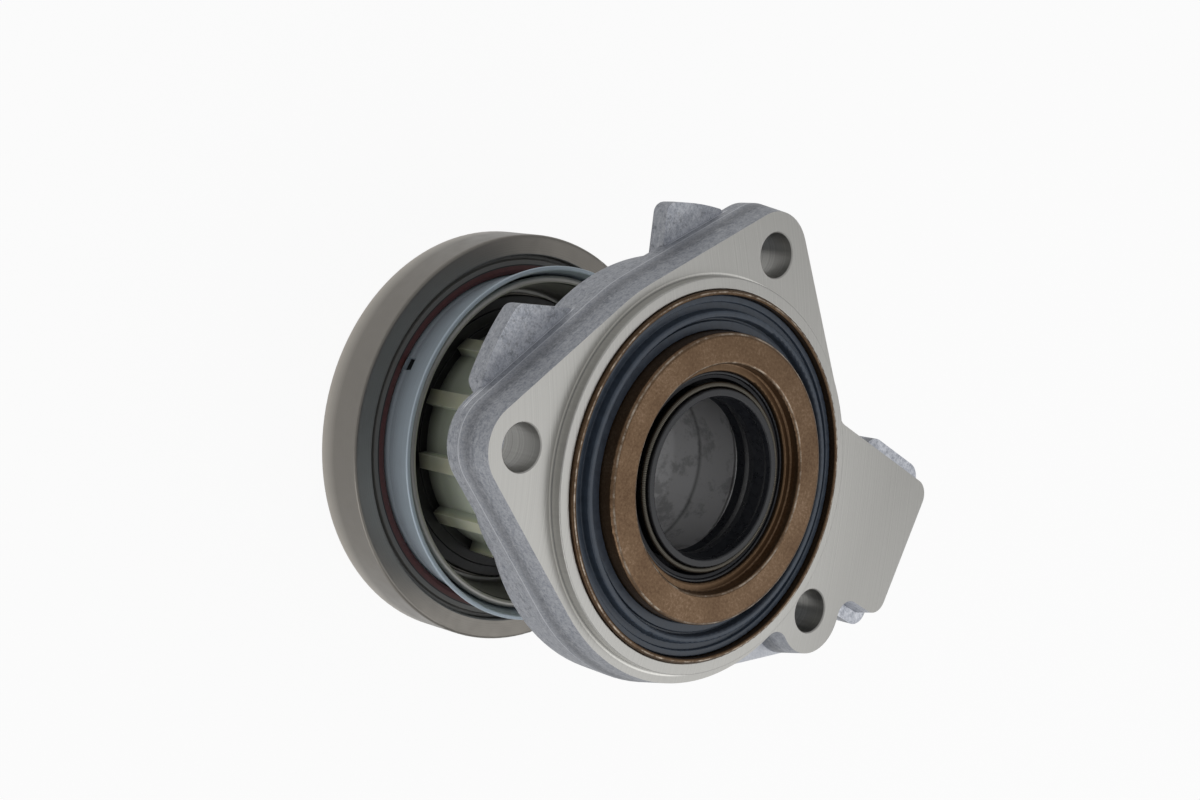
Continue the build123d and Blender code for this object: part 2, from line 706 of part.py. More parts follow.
# Bearing outer ring: ball track, deep wall and the rounded ring that the clutch bears on
with BuildPart() as bearing_outer_ring:
    turn(
        [
            (land_out + 0.1, bearing_face, 0.3),
            (bearing_outer_r, bearing_face, 0.5),
            (bearing_outer_r, bearing_low, 0.9),
            (bearing_outer_r - 1.6, bearing_low - 1.3, 0.9),
            (contact_r + 5, flange_inner - 2.2, 2.0),
            (contact_r + CONTACT_FLAT, contact_z, 1.5),
            (contact_r - CONTACT_FLAT, contact_z, 1.0),
            (contact_r - 2.4, contact_z + 1.8, 0.5),
            (contact_r - 2.4, flange_inner, 0.4),
            (land_out, flange_inner, 0.5),
            (land_out, seal_low - 0.1, 0),
            (land_out + 0.1, seal_low - 0.1, 0),
        ]
    )
    turn_round(pitch_r, ball_z, race_r, Mode.SUBTRACT)
save(bearing_outer_ring.part, "bearing_outer_ring")


# Seal in the bearing's open mouth
with BuildPart() as bearing_seal:
    seal_in = collar_in + COLLAR_T + 0.25
    seal_out = land_out + 0.05
    turn(
        [
            (seal_in, seal_low + 0.9, 0.15),
            (seal_in + 0.6, seal_low + SEAL_T, 0.2),
            (seal_out - 0.75, seal_low + SEAL_T, 0.2),
            (seal_out - 0.55, seal_low + SEAL_T - 0.6, 0.1),
            (seal_out, seal_low + SEAL_T - 0.65, 0.1),
            (seal_out, seal_low, 0.1),
            (seal_in + 0.9, seal_low, 0.1),
            (seal_in, seal_low + 0.5, 0.15),
        ]
    )
save(bearing_seal.part, "bearing_seal")


# Seal on the clutch side, under the end of the inner ring
with BuildPart() as clutch_side_seal:
    lip_mid_r = (land_in - RING_LOW_WALL + open_land) / 2
    turn(
        [
            (contact_r - 2.2, flange_inner + 0.02, 0.1),
            (open_land, flange_inner + 0.02, 0.1),
            (open_land, flange_inner + 0.4, 0.1),
            (lip_mid_r + 0.4, flange_inner + 0.5, 0.1),
            (lip_mid_r + 0.2, ring_low - 0.05, 0.1),
            (lip_mid_r - 0.2, ring_low - 0.05, 0.1),
            (lip_mid_r - 0.4, flange_inner + 0.5, 0.1),
            (contact_r - 2.2, flange_inner + 0.5, 0.1),
        ]
    )
save(clutch_side_seal.part, "clutch_side_seal")


# Crown cage: a ring with one open round pocket for each ball
with BuildPart() as bearing_cage:
    cage_low = flange_inner + 0.55
    ring(land_in + 0.4, land_out - 0.4, cage_low, ball_z + CAGE_RISE, 0.2)
    with Locations((0, 0, ball_z)):
        with PolarLocations(pitch_r, BALL_COUNT):
            Sphere(BALL_R + 0.08, mode=Mode.SUBTRACT)
save(bearing_cage.part, "bearing_cage")


# Balls
with BuildPart() as bearing_balls:
    with Locations((0, 0, ball_z)):
        with PolarLocations(pitch_r, BALL_COUNT):
            Sphere(BALL_R)
save(bearing_balls.part, "bearing_balls")
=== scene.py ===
"""Looks of a concentric slave cylinder: finishes for its solids, and the fine pieces they leave out."""

import math

import bpy
from mathutils import Matrix, Vector


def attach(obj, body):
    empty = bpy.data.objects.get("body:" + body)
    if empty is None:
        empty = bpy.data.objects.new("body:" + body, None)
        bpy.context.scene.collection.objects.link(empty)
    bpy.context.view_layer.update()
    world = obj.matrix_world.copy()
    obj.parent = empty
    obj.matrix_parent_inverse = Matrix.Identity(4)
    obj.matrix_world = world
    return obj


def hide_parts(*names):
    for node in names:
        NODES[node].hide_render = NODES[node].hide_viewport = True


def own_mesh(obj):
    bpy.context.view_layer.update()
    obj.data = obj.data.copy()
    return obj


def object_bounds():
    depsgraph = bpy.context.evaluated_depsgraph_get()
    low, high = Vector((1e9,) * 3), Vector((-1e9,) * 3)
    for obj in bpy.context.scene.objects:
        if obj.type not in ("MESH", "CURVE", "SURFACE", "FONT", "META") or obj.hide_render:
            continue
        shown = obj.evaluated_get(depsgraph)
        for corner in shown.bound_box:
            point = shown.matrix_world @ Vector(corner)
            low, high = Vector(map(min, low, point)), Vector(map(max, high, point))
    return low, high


bl_info = {
    "name": "Concentric Slave Cylinder",
    "version": (1, 0, 0),
    "blender": (4, 5, 0),
    "location": "3D View > Sidebar > Cylinder",
    "description": "Finishes and fine pieces for a concentric slave cylinder",
    "category": "Object",
}

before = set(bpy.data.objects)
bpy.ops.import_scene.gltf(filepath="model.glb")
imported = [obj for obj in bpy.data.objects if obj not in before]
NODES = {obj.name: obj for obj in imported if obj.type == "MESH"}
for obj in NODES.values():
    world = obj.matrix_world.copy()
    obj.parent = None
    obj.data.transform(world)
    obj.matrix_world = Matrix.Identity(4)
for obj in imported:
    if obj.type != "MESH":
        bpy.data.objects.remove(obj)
CAD_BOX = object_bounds()
MM = 0.001

# Sizes that the finishes follow, in millimetres and degrees, as the solids have them
BOLT_PLACES = ((36.9, 197.5), (36.2, 95.3), (35.9, -14.3))  # distance from the axis, angle
BOLT_HOLE_R = 3.5
BOLT_CHAMFER_R = 3.7
PARTING_Z = -5.4
SPIGOT_R = 30.4
CYLINDER_R = 20.4
LUG_Z = -7.4
LUG_ROOT = 20.0
LUG_PLACES = ((177.5, 11.5), (113.0, 6.5))  # angle, half width
BLOCK_END_X = 51.5
PORT_Z = -9.0
PORT_YS = (15.0, 1.8)
PORT_R = 4.5
PORT_LENGTH = 11.0
POCKET_MOUTH_R = 17.6
TUBE_R = 14.6
TUBE_DEPTH = 40.0
RIM_R = 28.15
RIM_INNER_R = 27.5
# Edges with a bright line that is partly wear and partly painted highlight
WORN_AND_LIT_EDGES = ((22.0, 4.0), (17.75, 4.0), (RIM_R, 2.35))  # radius, height
SEAL_CASE_R = 28.75
SEAT_R = 26.35
RING_EDGE_Z = -51.4
PANEL_R = 19.2
CREST_R = 20.1
RIB_END_Z = -43.8

# Where marks of making, painted light and painted shade lie on the housing, in millimetres
# Painted light: the port block is painted paler between these two x
LIT_BLOCK_XS = (34.0, 40.0)
# Painted shade: the milled face is painted darker between these two x, towards the ports
PORT_SHADE_XS = (26.0, 42.0)
MILL_SHIFT = (95, 44, 0)

# The camera: its place in millimetres, and its own right, up and backward directions
CAMERA_PLACE = Vector((-223.319, -62.234, 220.410))
CAMERA_RIGHT = Vector((0.628755, 0.385195, 0.675494))
CAMERA_UP = Vector((-0.421100, 0.898953, -0.120657))
CAMERA_BACK = Vector((-0.653714, -0.208587, 0.727427))


def linear(hex_colour):
    """Turn an sRGB hex colour into linear red, green, blue and alpha."""
    values = []
    for start in (1, 3, 5):
        level = int(hex_colour[start : start + 2], 16) / 255
        values.append(level / 12.92 if level <= 0.04045 else ((level + 0.055) / 1.055) ** 2.4)
    return (*values, 1.0)


def colour(name, description, hex_colour):
    """A colour property with its default given as an sRGB hex value."""
    return bpy.props.FloatVectorProperty(
        name=name,
        description=description,
        subtype="COLOR",
        size=4,
        min=0,
        max=1,
        default=linear(hex_colour),
    )


def length(name, description, default):
    """A length property that is given in millimetres and held in metres."""
    return bpy.props.FloatProperty(
        name=name,
        description=description,
        subtype="DISTANCE",
        unit="LENGTH",
        default=default * MM,
        precision=5,
    )


def amount(name, description, default, low=0.0, **extra):
    """A plain number with a lower limit, and a unit or an upper limit where one fits."""
    return bpy.props.FloatProperty(name=name, description=description, default=default, min=low, **extra)


def count(name, description, default, low, high):
    """A whole number between two limits."""
    return bpy.props.IntProperty(name=name, description=description, default=default, min=low, max=high)


class CastingSettings(bpy.types.PropertyGroup):
    cast: colour("Cast skin", "As-cast side walls", "#C2C5CC")
    cast_dark: colour("Cast shade", "Darker flecks of the cast skin", "#A7ABB4")
    cast_light: colour("Cast glint", "Lighter flecks of the cast skin", "#DADCE1")
    milled: colour("Milled face", "Freshly cut aluminium", "#C8C7C3")
    tool_mark: length("Tool marks", "Spacing of the mill's feed marks", 0.3)


class SleeveSettings(bpy.types.PropertyGroup):
    brown: colour("Passivated steel", "Brown conversion coat on the drawn sheet", "#7A624B")
    dark: colour("Thick coat", "Darker grain of the coat", "#664F3B")
    gold: colour("Drawn bore", "Thinner, golden coat where the sheet was stretched", "#66503A")
    worn: colour("Worn coat", "Grains of the coat rubbed pale", "#A9907A")
    # Partly wear, partly painted highlight along the sleeve's edges
    glint: colour("Rubbed edge", "Edges rubbed to the bare steel", "#E6D9C8")
    tube: colour("Tube", "Bare, oiled steel inside the long tube", "#CBCBCC")
    draw_line: length("Draw lines", "Spacing of the lines that the punch left", 0.35)


class RubberSettings(bpy.types.PropertyGroup):
    gasket: colour("Gasket", "Blue-black moulded rubber", "#3A4451")
    seal: colour("Shaft seal", "Black rubber of the lip seal", "#1B1D22")
    maroon: colour("Bearing seal", "Maroon rubber of the bearing's seals", "#4A2422")
    sheet: colour("Seal sheet", "Dark sheet that the maroon rubber is bonded to", "#696865")
    # Painted shade in the groove between the sheet and its rubber
    groove_shade: colour("Seal groove", "Shadowed groove between the sheet and its rubber", "#141414")


class BearingSettings(bpy.types.PropertyGroup):
    ground: colour("Ground ring", "Satin outside of the bearing ring", "#918D87")
    lip: colour("Inner ring", "Turned grey lip inside the collar", "#B6B5B1")
    # Painted shade on the ring's seat, in the notches of the collar
    seat: colour("Ring seat", "Black oil line where the collar sits on the inner ring", "#1C1D1F")
    plated: colour("Collar", "Blue-grey zinc plating on the collar", "#C0CED9")
    ball: colour("Ball", "Polished bearing steel", "#D8D8D6")
    cage: colour("Cage", "Glass-filled nylon cage", "#A38E5E")
    black: colour("Black plastic", "Moulded carrier and retainer", "#0A0A0B")


class PistonSettings(bpy.types.PropertyGroup):
    body: colour("Piston", "Pale, slightly see-through nylon", "#D3DACA")
    # Painted shade at the ends of the ribs, by the bearing
    rib_end_shade: colour("Grease", "Dark grease at the ends of the ribs", "#2B2C28")
    rib: colour("Rib", "Warmer crest of each rib", "#E2DEC2")


class SpringSettings(bpy.types.PropertyGroup):
    coil_count: count("Garter turns", "Turns of the garter spring that are drawn", 340, 60, 600)
    ring_r: length("Garter ring", "Radius of the circle that the garter spring follows", 14.15)
    coil_r: length("Garter coil", "Radius of the coil to the middle of its wire", 0.41)
    wire_r: length("Garter wire", "Radius of the wire", 0.12)
    centre_z: length("Garter height", "Height of the garter spring above the mounting face", 1.75)
    web_z: length("Spring end", "Height of the wall that the preload spring stands on", -7.0)
    closed_share: amount(
        "Closed length", "Share of its length that is left with the piston in", 0.17, low=0.05, max=1
    )
    steel: colour("Spring steel", "Bright drawn wire", "#BDBBB5")
    garter: colour("Garter wire colour", "Oiled steel wire of the garter spring", "#77736A")
    phosphate: colour("Phosphated steel", "Dark grey coat of the seal's case", "#3A3B3E")


class ThreadSettings(bpy.types.PropertyGroup):
    root_r: length("Thread root", "Radius at the foot of the port thread's ridge", 4.53)
    depth: length("Thread depth", "Height of the port thread's ridge", 0.36)
    pitch: length("Thread pitch", "Pitch of the port thread", 1.0)
    lead_in: amount("Lead-in", "Plain turns between the thread and the end of the block", 0.8, max=3)
    turns: count("Turns", "Turns of thread in each port", 8, 2, 20)


class StageSettings(bpy.types.PropertyGroup):
    floor: colour("Floor", "Plain pale floor", "#FFFFFF")
    key_power: amount("Key lamp", "Power of the key lamp", 0.30, unit="POWER")
    fill_power: amount("Fill lamp", "Power of the fill lamp", 0.47, unit="POWER")
    room: amount("Room light", "Level of the plain room light", 0.40, max=2)
    floor_view: amount("Floor in view", "How white the floor shows to the camera", 0.93, max=1)
    floor_shine: amount("Floor in metal", "How white the floor shows in metal", 0.42, max=1)
    lens: amount("Lens", "Focal length of the camera", 63.12, low=10, unit="CAMERA")


# Materials

def add_node(tree, kind, inputs=None, stops=None, **settings):
    """Add one node, set what is plain, and link what comes from another node.

    Inputs go by name, or by number where that is shorter. In Map Range 0 is the value, 1 and 2 are the
    ends of its range and 3 and 4 what they become. In Mix 0 is the share, 2 and 3 are the two numbers
    and 6 and 7 the two colours.
    """
    new = tree.nodes.new(kind)
    for name, value in settings.items():
        setattr(new, name, value)
    for key, value in (inputs or {}).items():
        if isinstance(value, bpy.types.NodeSocket):
            tree.links.new(value, new.inputs[key])
        else:
            new.inputs[key].default_value = value
    if stops:
        ramp = new.color_ramp.elements
        while len(ramp) < len(stops):
            ramp.new(1.0)
        for element, (place, tone) in zip(ramp, stops):
            element.position = place
            element.color = tone
    return new


def start_material(name):
    """A new node material: its tree, its shader, and the point on the object in millimetres."""
    material = bpy.data.materials.new(name)
    material.use_nodes = True
    tree = material.node_tree
    tree.nodes.clear()
    shader = add_node(tree, "ShaderNodeBsdfPrincipled")
    add_node(tree, "ShaderNodeOutputMaterial", {"Surface": shader.outputs["BSDF"]})
    place = add_node(tree, "ShaderNodeTexCoord")
    to_mm = {0: place.outputs["Object"], 3: 1 / MM}
    point = add_node(tree, "ShaderNodeVectorMath", to_mm, operation="SCALE")
    return material, tree, shader, point.outputs["Vector"]


def measure(tree, point):
    """x, y, z of a point in millimetres, and its distance from the cylinder's axis."""
    parts = add_node(tree, "ShaderNodeSeparateXYZ", {0: point}).outputs
    flat = add_node(tree, "ShaderNodeVectorMath", {0: point, 1: (1, 1, 0)}, operation="MULTIPLY")
    radius = add_node(tree, "ShaderNodeVectorMath", {0: flat.outputs[0]}, operation="LENGTH")
    return parts["X"], parts["Y"], parts["Z"], radius.outputs["Value"]


def band(tree, value, centre, inner, outer):
    """1 where a value lies within inner of its centre, falling to 0 at outer."""
    off = add_node(tree, "ShaderNodeMath", {0: value, 1: centre}, operation="SUBTRACT").outputs[0]
    away = add_node(tree, "ShaderNodeMath", {0: off}, operation="ABSOLUTE").outputs[0]
    return add_node(tree, "ShaderNodeMapRange", {0: away, 1: outer, 2: inner}).outputs[0]


def near_line(tree, point, centre, axis, inner, outer):
    """1 inside a round hole on an axis, falling to 0 from inner to outer."""
    shifted = add_node(tree, "ShaderNodeVectorMath", {0: point, 1: centre}, operation="SUBTRACT").outputs[0]
    keep = [0 if along else 1 for along in axis]
    flat = add_node(tree, "ShaderNodeVectorMath", {0: shifted, 1: keep}, operation="MULTIPLY").outputs[0]
    reach = add_node(tree, "ShaderNodeVectorMath", {0: flat}, operation="LENGTH").outputs["Value"]
    return add_node(tree, "ShaderNodeMapRange", {0: reach, 1: outer, 2: inner}).outputs[0]


def turned_lines(tree, point, spacing):
    """Fine rings left by turning, as a height from 0 to 1, at a spacing in millimetres."""
    slope = 1.37  # the height's share in them, so that they show on flat faces and on walls alike
    _, _, z, radius = measure(tree, point)
    rise = add_node(tree, "ShaderNodeMath", {0: z, 1: slope}, operation="MULTIPLY").outputs[0]
    run = add_node(tree, "ShaderNodeMath", {0: radius, 1: rise}, operation="ADD").outputs[0]
    scaled = add_node(tree, "ShaderNodeMath", {0: run, 1: 1 / spacing}, operation="MULTIPLY").outputs[0]
    noise = {"W": scaled, "Scale": 1.0, "Detail": 3.0, "Roughness": 0.7}
    return add_node(tree, "ShaderNodeTexNoise", noise, noise_dimensions="1D").outputs["Fac"]


def greys(tones):
    """Stops of a ramp in plain grey, from pairs of a place and a level."""
    return [(place, (tone, tone, tone, 1)) for place, tone in tones]


def set_bump(tree, shader, height, depth_mm, strength):
    """Give a shader a bump whose full height is a real depth."""
    inputs = {"Height": height, "Distance": depth_mm * MM, "Strength": strength}
    bump = add_node(tree, "ShaderNodeBump", inputs)
    tree.links.new(bump.outputs["Normal"], shader.inputs["Normal"])


def dress(node_name, material):
    """Give a solid its finish, in every slot that it has."""
    data = NODES[node_name].data
    if not data.materials:
        data.materials.append(material)
    for index in range(len(data.materials)):
        data.materials[index] = material


def make_casting(look):
    """Die-cast aluminium: a dull, finely flecked grey skin, bright and finely lined where it was milled."""
    material, tree, shader, point = start_material("die_cast_aluminium")
    x, _, z, radius = measure(tree, point)
    facing = add_node(tree, "ShaderNodeTexCoord").outputs["Normal"]
    upward = add_node(tree, "ShaderNodeSeparateXYZ", {0: facing}).outputs["Z"]

    # Flow marks of the metal in the die, about 1.2 mm wide and drawn out along the wall, under grit of
    # about 0.3 mm
    stretched = add_node(tree, "ShaderNodeMapping", {"Vector": point, "Scale": (1.0, 1.0, 2.8)})
    flow = {"Vector": stretched.outputs[0], "Scale": 0.85, "Detail": 7.0, "Roughness": 0.7}
    flows = add_node(tree, "ShaderNodeTexNoise", flow).outputs["Fac"]
    grit = {"Vector": point, "Scale": 3.0, "Detail": 4.0, "Roughness": 0.75}
    grits = add_node(tree, "ShaderNodeTexNoise", grit).outputs["Fac"]
    fleck = add_node(tree, "ShaderNodeMix", {0: 0.5, 2: flows, 3: grits}, data_type="FLOAT").outputs[0]
    stops = [(0.40, look.cast_dark), (0.5, look.cast), (0.62, look.cast_light)]
    skin = add_node(tree, "ShaderNodeValToRGB", {0: fleck}, stops=stops).outputs[0]

    # Scattered pits of about 1 mm, faint in front of the parting line and darker behind it
    pit = {"Vector": point, "Scale": 1.0, "Detail": 5.0, "Roughness": 0.8}
    pits = add_node(tree, "ShaderNodeTexNoise", pit).outputs["Fac"]
    deeper = {0: z, 1: PARTING_Z, 2: PARTING_Z - 0.8, 3: 0.92, 4: 0.70}
    darkest = add_node(tree, "ShaderNodeMapRange", deeper).outputs[0]
    spots = {0: pits, 1: 0.53, 2: 0.63, 3: 1.0, 4: darkest}
    pitted = add_node(tree, "ShaderNodeMapRange", spots).outputs[0]

    # A ragged dark streak in front of the parting line
    drift = {0: flows, 1: 2.2, 2: z}
    ragged = add_node(tree, "ShaderNodeMath", drift, operation="MULTIPLY_ADD").outputs[0]
    height = add_node(tree, "ShaderNodeMapRange", {0: ragged, 1: -9.0, 2: 1.0}).outputs[0]
    tones = [(0.0, 1.0), (0.42, 0.98), (0.53, 0.82), (0.60, 0.62), (0.67, 0.64), (0.78, 0.88), (1.0, 0.95)]
    streak = add_node(tree, "ShaderNodeValToRGB", {0: height}, stops=greys(tones)).outputs[0]

    # Painted light and shade: walls are painted darker and cast faces that look up paler, by the way they
    # face, and the port block is painted paler, as a painted highlight where light falls strongly on it
    by_facing = {0: upward, 1: 0.9, 2: 0.15, 3: 1.3, 4: 0.73}
    painted_light_and_shade = add_node(tree, "ShaderNodeMapRange", by_facing).outputs[0]
    on_block = {0: x, 1: LIT_BLOCK_XS[0], 2: LIT_BLOCK_XS[1], 3: 1.0, 4: 1.35}
    pale = add_node(tree, "ShaderNodeMapRange", on_block).outputs[0]
    painted_light_and_shade = add_node(tree, "ShaderNodeMath", {0: painted_light_and_shade, 1: pale}, operation="MULTIPLY").outputs[0]
    for layer in (pitted, streak, painted_light_and_shade):
        aged = {0: 1.0, 6: skin, 7: layer}
        skin = add_node(tree, "ShaderNodeMix", aged, data_type="RGBA", blend_type="MULTIPLY").outputs[2]

    # A thin bright line where the two halves of the die met
    parting = band(tree, z, PARTING_Z, inner=0.05, outer=0.16)
    line = add_node(tree, "ShaderNodeMath", {0: parting, 1: 0.55}, operation="MULTIPLY").outputs[0]

    # Two pale lines of 0.1 and 0.2 mm at the foot of each lug, where a slide of the die met the wall
    lines = [band(tree, z, LUG_Z + rise, half, half + 0.05) for rise, half in ((0.12, 0.05), (0.5, 0.1))]
    feet = add_node(tree, "ShaderNodeMath", {0: lines[0], 1: lines[1]}, operation="MAXIMUM").outputs[0]
    for angle, half in LUG_PLACES:
        turn = math.radians(angle)
        sideways = {0: point, 1: (-math.sin(turn), math.cos(turn), 0)}
        across = add_node(tree, "ShaderNodeVectorMath", sideways, operation="DOT_PRODUCT").outputs["Value"]
        outwards = {0: point, 1: (math.cos(turn), math.sin(turn), 0)}
        out = add_node(tree, "ShaderNodeVectorMath", outwards, operation="DOT_PRODUCT").outputs["Value"]
        beyond = add_node(tree, "ShaderNodeMath", {0: out, 1: LUG_ROOT}, operation="GREATER_THAN").outputs[0]
        within = {0: band(tree, across, 0.0, inner=half - 1.0, outer=half), 1: beyond}
        on_lug = add_node(tree, "ShaderNodeMath", within, operation="MULTIPLY").outputs[0]
        foot = add_node(tree, "ShaderNodeMath", {0: on_lug, 1: feet}, operation="MULTIPLY").outputs[0]
        line = add_node(tree, "ShaderNodeMath", {0: foot, 1: line}, operation="MAXIMUM").outputs[0]

    # Pale grains on the lugs and other cast faces that look up, where the skin was knocked
    flat = add_node(tree, "ShaderNodeMapRange", {0: upward, 1: 0.4, 2: 0.6}).outputs[0]
    grains = add_node(tree, "ShaderNodeMapRange", {0: grits, 1: 0.60, 2: 0.68, 3: 0.0, 4: 0.7}).outputs[0]
    knocked = add_node(tree, "ShaderNodeMath", {0: flat, 1: grains}, operation="MULTIPLY").outputs[0]
    line = add_node(tree, "ShaderNodeMath", {0: knocked, 1: line}, operation="MAXIMUM").outputs[0]
    lit = {0: line, 6: skin, 7: look.cast_light}
    wall = add_node(tree, "ShaderNodeMix", lit, data_type="RGBA").outputs[2]

    # Milled places: the front face, the spigot, the end of the port block, the bores, the screw holes
    # with their chamfers, and the ports
    flat_up = add_node(tree, "ShaderNodeMapRange", {0: upward, 1: 0.93, 2: 0.98}).outputs[0]
    at_face = add_node(tree, "ShaderNodeMapRange", {0: z, 1: -0.15, 2: -0.03}).outputs[0]
    face = add_node(tree, "ShaderNodeMath", {0: flat_up, 1: at_face}, operation="MULTIPLY").outputs[0]
    spigot = add_node(tree, "ShaderNodeMapRange", {0: z, 1: 0.03, 2: 0.08}).outputs[0]
    at_end = {0: x, 1: BLOCK_END_X - 0.12, 2: BLOCK_END_X - 0.04}
    end = add_node(tree, "ShaderNodeMapRange", at_end).outputs[0]
    in_bore = {0: radius, 1: CYLINDER_R + 0.4, 2: CYLINDER_R + 0.1}
    bore = add_node(tree, "ShaderNodeMapRange", in_bore).outputs[0]
    places = [spigot, end, bore]
    drilled = 0.0
    for bolt_r, angle in BOLT_PLACES:
        turn = math.radians(angle)
        centre = (bolt_r * math.cos(turn), bolt_r * math.sin(turn), 0)
        chamfer = near_line(tree, point, centre, (0, 0, 1), BOLT_CHAMFER_R + 0.02, BOLT_CHAMFER_R + 0.1)
        places.append(chamfer)
        hole = near_line(tree, point, centre, (0, 0, 1), BOLT_HOLE_R + 0.02, BOLT_HOLE_R + 0.06)
        drilled = add_node(tree, "ShaderNodeMath", {0: drilled, 1: hole}, operation="MAXIMUM").outputs[0]
    port_floor_x = BLOCK_END_X - PORT_LENGTH
    from_floor = {0: x, 1: port_floor_x - 1.0, 2: port_floor_x - 0.8}
    in_block = add_node(tree, "ShaderNodeMapRange", from_floor).outputs[0]
    for port_y in PORT_YS:
        port = near_line(tree, point, (0, port_y, PORT_Z), (1, 0, 0), PORT_R + 0.1, PORT_R + 0.25)
        port = add_node(tree, "ShaderNodeMath", {0: port, 1: in_block}, operation="MULTIPLY").outputs[0]
        places.append(port)
    milled = face
    for place in places:
        milled = add_node(tree, "ShaderNodeMath", {0: milled, 1: place}, operation="MAXIMUM").outputs[0]

    # Feed marks of a large face mill: wide uneven arcs, drawn coarser than the real 0.1 mm so they show
    shifted = {"Vector": point, "Location": MILL_SHIFT, "Scale": (1, 1, 0)}
    swing = add_node(tree, "ShaderNodeMapping", shifted).outputs[0]
    reach = add_node(tree, "ShaderNodeVectorMath", {0: swing}, operation="LENGTH").outputs["Value"]
    spaced = {0: reach, 1: MM / look.tool_mark}
    feed = add_node(tree, "ShaderNodeMath", spaced, operation="MULTIPLY").outputs[0]
    marks = {"W": feed, "Scale": 1.0, "Detail": 2.0, "Roughness": 0.6}
    ridges = add_node(tree, "ShaderNodeTexNoise", marks, noise_dimensions="1D").outputs["Fac"]
    shine = {0: ridges, 1: 0.3, 2: 0.7, 3: 0.95, 4: 1.02}
    shading = add_node(tree, "ShaderNodeMapRange", shine).outputs[0]

    # The milled face has painted shade, greyer towards the ports, and a painted highlight shines as a ring
    # at the spigot's foot
    by_ports = {0: x, 1: PORT_SHADE_XS[0], 2: PORT_SHADE_XS[1], 3: 1.0, 4: 0.86}
    painted_port_shade = add_node(tree, "ShaderNodeMapRange", by_ports).outputs[0]
    by_spigot = band(tree, radius, SPIGOT_R + 0.35, inner=0.08, outer=0.2)
    low = add_node(tree, "ShaderNodeMapRange", {0: z, 1: 0.08, 2: 0.03}).outputs[0]
    ring = add_node(tree, "ShaderNodeMath", {0: by_spigot, 1: low}, operation="MULTIPLY").outputs[0]
    ring = add_node(tree, "ShaderNodeMapRange", {0: ring, 3: 1.0, 4: 1.65}).outputs[0]
    for layer in (painted_port_shade, ring):
        shading = add_node(tree, "ShaderNodeMath", {0: shading, 1: layer}, operation="MULTIPLY").outputs[0]
    lined = {0: 1.0, 6: look.milled, 7: shading}
    cut = add_node(tree, "ShaderNodeMix", lined, data_type="RGBA", blend_type="MULTIPLY").outputs[2]

    # Drilled screw holes stay rougher and greyer than the milled face, with rings about 0.4 mm apart
    step = {"W": z, "Scale": 2.5, "Detail": 2.0}
    steps = add_node(tree, "ShaderNodeTexNoise", step, noise_dimensions="1D").outputs["Fac"]
    grey = {0: steps, 1: 0.3, 2: 0.7, 3: 0.52, 4: 0.70}
    greyed = add_node(tree, "ShaderNodeMapRange", grey).outputs[0]
    dim = add_node(tree, "ShaderNodeMix", {0: drilled, 2: 1.0, 3: greyed}, data_type="FLOAT").outputs[0]
    mixed = add_node(tree, "ShaderNodeMix", {0: milled, 6: wall, 7: cut}, data_type="RGBA").outputs[2]
    dimmed = {0: 1.0, 6: mixed, 7: dim}
    skin = add_node(tree, "ShaderNodeMix", dimmed, data_type="RGBA", blend_type="MULTIPLY").outputs[2]
    tree.links.new(skin, shader.inputs["Base Color"])

    # Milled places are glossier than the cast skin
    rough = add_node(tree, "ShaderNodeMapRange", {0: milled, 1: 0.0, 2: 1.0, 3: 0.52, 4: 0.36})
    tree.links.new(rough.outputs[0], shader.inputs["Roughness"])
    shader.inputs["Metallic"].default_value = 0.9
    relief = add_node(tree, "ShaderNodeMix", {0: milled, 2: fleck, 3: ridges}, data_type="FLOAT")
    set_bump(tree, shader, relief.outputs[0], depth_mm=0.06, strength=0.3)
    return material


